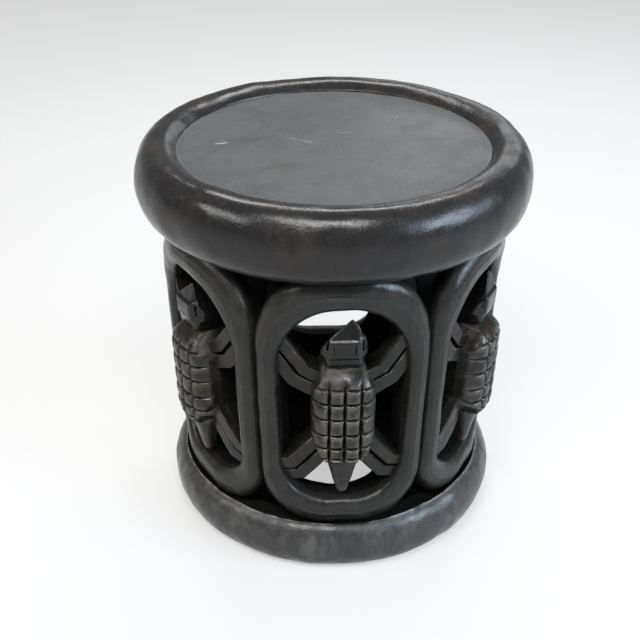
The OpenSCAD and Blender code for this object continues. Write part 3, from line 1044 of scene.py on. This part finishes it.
def head_piece():
    """Helmet with a gabled top over a jaw with a plate and slits, which narrows to the neck"""
    back_y = -bore_r - 0.0005
    jaw_z0 = shell_z1 - 0.004
    jaw = block("head_pattern", (-head_half_w, -head_face_r, jaw_z0), (head_half_w, back_y, jaw_top_z))
    helmet = block(
        "helmet", (-head_half_w, -helmet_face_r, helmet_low_z), (head_half_w, back_y, head_top_z)
    )
    chisel(jaw, [((x, y, z + jaw_lift), normal) for (x, y, z), normal in gables])
    chisel(jaw, jaw_front)
    chisel(helmet, gables + helmet_front)
    for side in (1, -1):
        chisel(jaw, on_side(side, jaw_sides))
        chisel(helmet, on_side(side, helmet_sides))
    only(jaw)
    helmet.select_set(True)
    bpy.ops.object.join()
    softened(jaw)
    for place, length, width, lean in head_slits:
        slit(jaw, place, length, width, lean)
    return jaw


head_pattern = head_piece()

# Turtle tails

tail_tip = [(0.0, 0.0926), (0.0026, 0.0932), (0.0045, 0.0952), (0.0058, 0.0985)]
tail_top_r = 0.0165
tail_top_z = 0.142
tail_steps = 12
tail_press = 0.07


def tail_piece():
    """Cone on its rounded tip, pressed a little to three sides"""
    section = list(tail_tip)
    r0, z0 = tail_tip[-1]
    for i in range(1, tail_steps + 1):
        t = i / tail_steps
        section.append((mix(r0, tail_top_r, t ** 0.95), mix(z0, tail_top_z, t)))
    section.append((0.0, tail_top_z))
    piece = turned("tail_pattern", section, 40)
    for vert in piece.data.vertices:
        turn = math.atan2(vert.co.x, -vert.co.y)
        pressed = 1 - tail_press * math.cos(3 * turn)
        vert.co.x *= pressed
        vert.co.y *= pressed
    piece.data.transform(Matrix.Translation((0, -tail_axis_r, 0)))
    return piece


tail_pattern = tail_piece()

# Turtle legs


def mitres(points):
    """Sideways way at each point of a bent line, long enough to keep a band's width at the bend"""
    ways = [(b - a).normalized() for a, b in zip(points, points[1:])]
    across = []
    for i in range(len(points)):
        before = ways[max(i - 1, 0)]
        after = ways[min(i, len(ways) - 1)]
        across.append(Vector((-before.y - after.y, before.x + after.x)) / (1 + before.dot(after)))
    return across


def offset_line(line, gap):
    """The same bent line, moved sideways"""
    points = [Vector(p) for p in line]
    return [point + way * gap for point, way in zip(points, mitres(points))]


def flat_middle(face):
    middle = face.calc_center_median()
    return Vector((middle.x, middle.z))


def band(name, points, width):
    """Straight-sided band along a bent line of (sideways, height) points, from depth 0 to 1"""
    bpy.ops.object.select_all(action="DESELECT")
    bpy.ops.mesh.primitive_cube_add(size=1)
    piece = bpy.context.object
    piece.name = name
    sides = [way * width / 2 for way in mitres(points)]

    def corner(i, side, is_front):
        spot = points[i] + sides[i] * side
        return Vector((spot.x, -1.0 if is_front else 0.0, spot.y))

    for vert in piece.data.vertices:
        vert.co = corner(1 if vert.co.x > 0 else 0, 1 if vert.co.z > 0 else -1, vert.co.y < 0)
    for i in range(2, len(points)):
        only(piece)
        bpy.ops.object.mode_set(mode="EDIT")
        bpy.ops.mesh.select_mode(type="FACE")
        bpy.ops.mesh.select_all(action="DESELECT")
        bm = bmesh.from_edit_mesh(piece.data)
        bm.faces.ensure_lookup_table()
        here = points[i - 1]
        end = min(bm.faces, key=lambda face: (flat_middle(face) - here).length)
        end.select = True
        bpy.ops.mesh.extrude_context()
        bm = bmesh.from_edit_mesh(piece.data)
        for vert in bm.verts:
            if vert.select:
                spot = Vector((vert.co.x, vert.co.z))
                side = 1 if (spot - here).dot(sides[i - 1]) > 0 else -1
                vert.co = corner(i, side, -vert.co.y > 0.5)
        bpy.ops.object.mode_set(mode="OBJECT")
    only(piece)
    bpy.ops.object.mode_set(mode="EDIT")
    bpy.ops.mesh.select_all(action="SELECT")
    bpy.ops.mesh.normals_make_consistent(inside=False)
    bpy.ops.object.mode_set(mode="OBJECT")
    return piece


def bowed(piece, recess):
    """Bends a flat band to the drum: its front follows the face, its back the hollow"""
    for vert in piece.data.vertices:
        share = -vert.co.y
        front = math.sqrt((face_r(vert.co.z) - recess) ** 2 - vert.co.x ** 2)
        back = math.sqrt((bore_r + 0.0008) ** 2 - vert.co.x ** 2)
        vert.co.y = -mix(back, front, share)


def leg_piece(name, line, upper_w, lower_w):
    """Two bands side by side, the lower one a little deeper, over a sunk core"""
    parts = []
    for label, gap, width, recess in (
        ("upper", (upper_w + leg_cut_w) / 2, upper_w, leg_recess),
        ("lower", -(lower_w + leg_cut_w) / 2, lower_w, leg_recess + lower_band_drop),
        ("core", 0.0, lower_w, leg_recess + core_drop),
    ):
        part = band(f"{name}_{label}", offset_line(line, gap), width)
        subdivided(part, 4)
        bowed(part, recess)
        if label != "core":
            bevelled(part, leg_edge, 3, 40)
        parts.append(part)
    only(parts[0])
    for part in parts[1:]:
        part.select_set(True)
    bpy.ops.object.join()
    parts[0].name = name
    return parts[0]


foreleg_line = ((0.0098, 0.2189), (0.0425, 0.2350), (0.0715, 0.2740))
hindleg_line = ((0.0165, 0.1560), (0.0455, 0.1178), (0.0740, 0.1090))
foreleg_pattern = leg_piece("foreleg_pattern", foreleg_line, 0.0118, 0.0143)
hindleg_pattern = leg_piece("hindleg_pattern", hindleg_line, 0.0127, 0.0127)

# The back turtle is a little shorter and leans in its window
lean_angle = 4
lean_scale = (1.08, 1.0, 0.86, 1.0)
crown = Vector((0.0, 0.0, head_top_z))
leaning = Matrix.Translation(crown) @ Matrix.Rotation(math.radians(lean_angle), 4, "Y")
leaning = leaning @ Matrix.Diagonal(lean_scale) @ Matrix.Translation(-crown)

for k in range(1, frame_count + 1):
    turn = (k - 1) * pitch
    shape = leaning if k == back_frame else None
    shell = copied(shell_pattern, f"turtle_shell_carved_{k}", turn, False, shape)
    waver(shell, shell_waves)
    shaded(shell, 50)
    mounted(shell, shell_wood, "shell_wood", f"turtle_shell_{k}")
    left_raw_in_painted_shade(shell, deep(shell_raw_shade_depth))
    head = copied(head_pattern, f"turtle_head_carved_{k}", turn, False, shape)
    shaded(head, 30)
    mounted(head, head_wood, "head_wood", f"turtle_head_{k}")
    left_raw_in_painted_shade(head, deep(head_raw_shade_depth))
    tail = copied(tail_pattern, f"turtle_tail_carved_{k}", turn, False, shape)
    waver(tail, tail_waves)
    shaded(tail, 40)
    mounted(tail, tail_wood, "tail_wood", f"turtle_tail_{k}")
    for side, mirrored in (("right", False), ("left", True)):
        for limb, pattern in (("foreleg", foreleg_pattern), ("hindleg", hindleg_pattern)):
            leg = copied(pattern, f"{side}_{limb}_carved_{k}", turn, mirrored, shape)
            waver(leg, leg_waves)
            shaded(leg, 35)
            mounted(leg, leg_wood, "leg_wood", f"{side}_{limb}_{k}")
            left_raw_in_painted_shade(leg, deep(leg_raw_shade_depth))
for pattern in (shell_pattern, head_pattern, tail_pattern, foreleg_pattern, hindleg_pattern):
    bpy.data.objects.remove(pattern)

# Floor, light and camera

floor_colour = 0.30
floor_glow = 0.50
room_light = 0.26


def seen_by_eye_or_gloss(tree):
    """1 for what the camera, a gloss or a clear thing sees, 0 for the light that falls on things"""
    path = node_of(tree, "ShaderNodeLightPath").outputs
    seen = calc(tree, "MAXIMUM", path["Is Camera Ray"], path["Is Glossy Ray"])
    return calc(tree, "MAXIMUM", seen, path["Is Transmission Ray"])


def pale_floor():
    """Matt floor that keeps the shadow and looks paler than the light it gives"""
    material = bpy.data.materials.new("pale floor")
    material.use_nodes = True
    tree = material.node_tree
    tree.nodes.clear()
    out = node_of(tree, "ShaderNodeOutputMaterial")
    matt = node_of(tree, "ShaderNodeBsdfDiffuse", {"Color": (*[floor_colour] * 3, 1.0)})
    strength = calc(tree, "MULTIPLY", seen_by_eye_or_gloss(tree), floor_glow)
    glow = node_of(tree, "ShaderNodeEmission", {"Strength": strength})
    both = node_of(tree, "ShaderNodeAddShader", {0: matt.outputs[0], 1: glow.outputs[0]})
    tree.links.new(both.outputs[0], out.inputs["Surface"])
    return material


bpy.ops.object.select_all(action="DESELECT")
bpy.ops.mesh.primitive_plane_add(size=12, location=(0, 0, 0))
floor = bpy.context.object
floor.name = "floor"
floor.data.materials.append(pale_floor())

world = bpy.data.worlds.new("studio")
bpy.context.scene.world = world
world.use_nodes = True
sky = world.node_tree.nodes["Background"]
sky.inputs["Color"].default_value = (1.0, 1.0, 1.0, 1.0)
sky.inputs["Strength"].default_value = room_light


def softbox(name, turn, rise, distance, width, height, power, colour):
    """Rectangular lamp that looks at the stool's middle, from a turn and a rise in degrees"""
    turn = math.radians(turn)
    rise = math.radians(rise)
    aim = Vector((0, 0, 0.3))
    way = Vector((math.sin(turn) * math.cos(rise), -math.cos(turn) * math.cos(rise), math.sin(rise)))
    lamp = bpy.data.lights.new(name, "AREA")
    lamp.shape = "RECTANGLE"
    lamp.size = width
    lamp.size_y = height
    lamp.energy = power
    lamp.color = colour
    lamp_object = bpy.data.objects.new(name, lamp)
    bpy.context.collection.objects.link(lamp_object)
    lamp_object.location = aim + way * distance
    lamp_object.rotation_euler = way.to_track_quat("Z", "Y").to_euler()


softbox("skylight", -14, 50, 1.8, 1.2, 0.4, 32, (1.0, 0.99, 0.97))
softbox("roof window", 176, 56, 1.8, 1.5, 0.34, 26, (1.0, 0.99, 0.98))
softbox("left window", -70, 30, 1.8, 0.9, 0.3, 9, (1.0, 0.99, 0.98))
softbox("right window", 60, 20, 1.8, 1.2, 0.6, 36, (0.68, 0.83, 1.0))
softbox("back window", 155, 21, 2.0, 1.3, 0.5, 4, (0.92, 0.96, 1.0))

camera = bpy.data.cameras.new("camera")
camera.sensor_width = 36.0
camera.lens = 62.39
view = bpy.data.objects.new("camera", camera)
bpy.context.collection.objects.link(view)
view.location = (-0.0707, -1.0374, 0.8136)
view.rotation_euler = (math.radians(59.493), -0.0018, -0.0541)
bpy.context.scene.camera = view
bpy.context.scene.view_settings.view_transform = "Standard"
